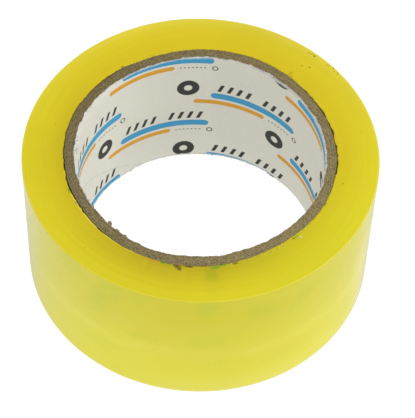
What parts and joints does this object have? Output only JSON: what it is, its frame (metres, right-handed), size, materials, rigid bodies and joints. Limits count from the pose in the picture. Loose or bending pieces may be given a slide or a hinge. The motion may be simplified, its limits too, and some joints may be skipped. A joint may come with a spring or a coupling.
{
  "type": "packing tape roll",
  "caption": "Roll of clear yellow packing tape wound on a spiral paper core with a printed liner; its free end peels off and unwinds.",
  "frame": {"origin": "centre of the bore, half way across the roll's width", "axes": "+Z along the roll's axis, up when the roll stands on its flat end; -Y towards the viewer; the free end of the tape lies on the +Y side"},
  "size_m": [0.109, 0.109, 0.05],
  "materials": {
    "liner_paper": "smooth white paper with a flat repeat print",
    "kraft_board": "raw grey-brown core board, fibrous knife-cut ends",
    "outer_paper": "thin printed paper under the tape",
    "tape_roll": "many turns of clear film with yellow adhesive; milky gloss wall, finely ringed ends",
    "tape_film": "clear glossy film with yellow adhesive on its inner side"
  },
  "bodies": {
    "roll": {"liner_ply": "liner_paper", "kraft_ply_1": "kraft_board", "kraft_ply_2": "kraft_board", "kraft_ply_3": "kraft_board", "kraft_ply_4": "kraft_board", "kraft_ply_5": "kraft_board", "kraft_ply_6": "kraft_board", "kraft_ply_7": "kraft_board", "outer_ply": "outer_paper", "tape_winding": "tape_roll"},
    "peel_line": {"tape_contact": "tape_film"},
    "tape_end_1": {"tape_end_1": "tape_film"},
    "tape_end_2": {"tape_end_2": "tape_film"},
    "tape_end_3": {"tape_end_3": "tape_film"},
    "tape_end_4": {"tape_end_4": "tape_film"},
    "tape_end_5": {"tape_end_5": "tape_film"},
    "tape_end_6": {"tape_end_6": "tape_film"},
    "tape_end_7": {"tape_end_7": "tape_film"}
  },
  "joints": [
    {"name": "unwind", "type": "hinge", "parent": "roll", "child": "peel_line", "pos_m": [0, 0, 0], "axis": [0, 0, 1], "continuous": true},
    {"name": "peel", "type": "hinge", "parent": "peel_line", "child": "tape_end_1", "pos_m": [-0.05279, 0.01414, 0], "axis": [0, 0, 1], "range_deg": [0, 120]},
    {"name": "straighten_1", "type": "hinge", "parent": "tape_end_1", "child": "tape_end_2", "pos_m": [-0.04953, 0.0231, 0], "axis": [0, 0, 1], "range_deg": [0, 10]},
    {"name": "straighten_2", "type": "hinge", "parent": "tape_end_2", "child": "tape_end_3", "pos_m": [-0.04477, 0.03135, 0], "axis": [0, 0, 1], "range_deg": [0, 10]},
    {"name": "straighten_3", "type": "hinge", "parent": "tape_end_3", "child": "tape_end_4", "pos_m": [-0.03864, 0.03864, 0], "axis": [0, 0, 1], "range_deg": [0, 10]},
    {"name": "straighten_4", "type": "hinge", "parent": "tape_end_4", "child": "tape_end_5", "pos_m": [-0.03135, 0.04477, 0], "axis": [0, 0, 1], "range_deg": [0, 10]},
    {"name": "straighten_5", "type": "hinge", "parent": "tape_end_5", "child": "tape_end_6", "pos_m": [-0.0231, 0.04953, 0], "axis": [0, 0, 1], "range_deg": [0, 10]},
    {"name": "straighten_6", "type": "hinge", "parent": "tape_end_6", "child": "tape_end_7", "pos_m": [-0.01414, 0.05279, 0], "axis": [0, 0, 1], "range_deg": [0, 10]}
  ],
  "couplings": [
    {"joint": "straighten_1", "follows": "peel", "ratio": 0.083333},
    {"joint": "straighten_2", "follows": "peel", "ratio": 0.083333},
    {"joint": "straighten_3", "follows": "peel", "ratio": 0.083333},
    {"joint": "straighten_4", "follows": "peel", "ratio": 0.083333},
    {"joint": "straighten_5", "follows": "peel", "ratio": 0.083333},
    {"joint": "straighten_6", "follows": "peel", "ratio": 0.083333}
  ]
}
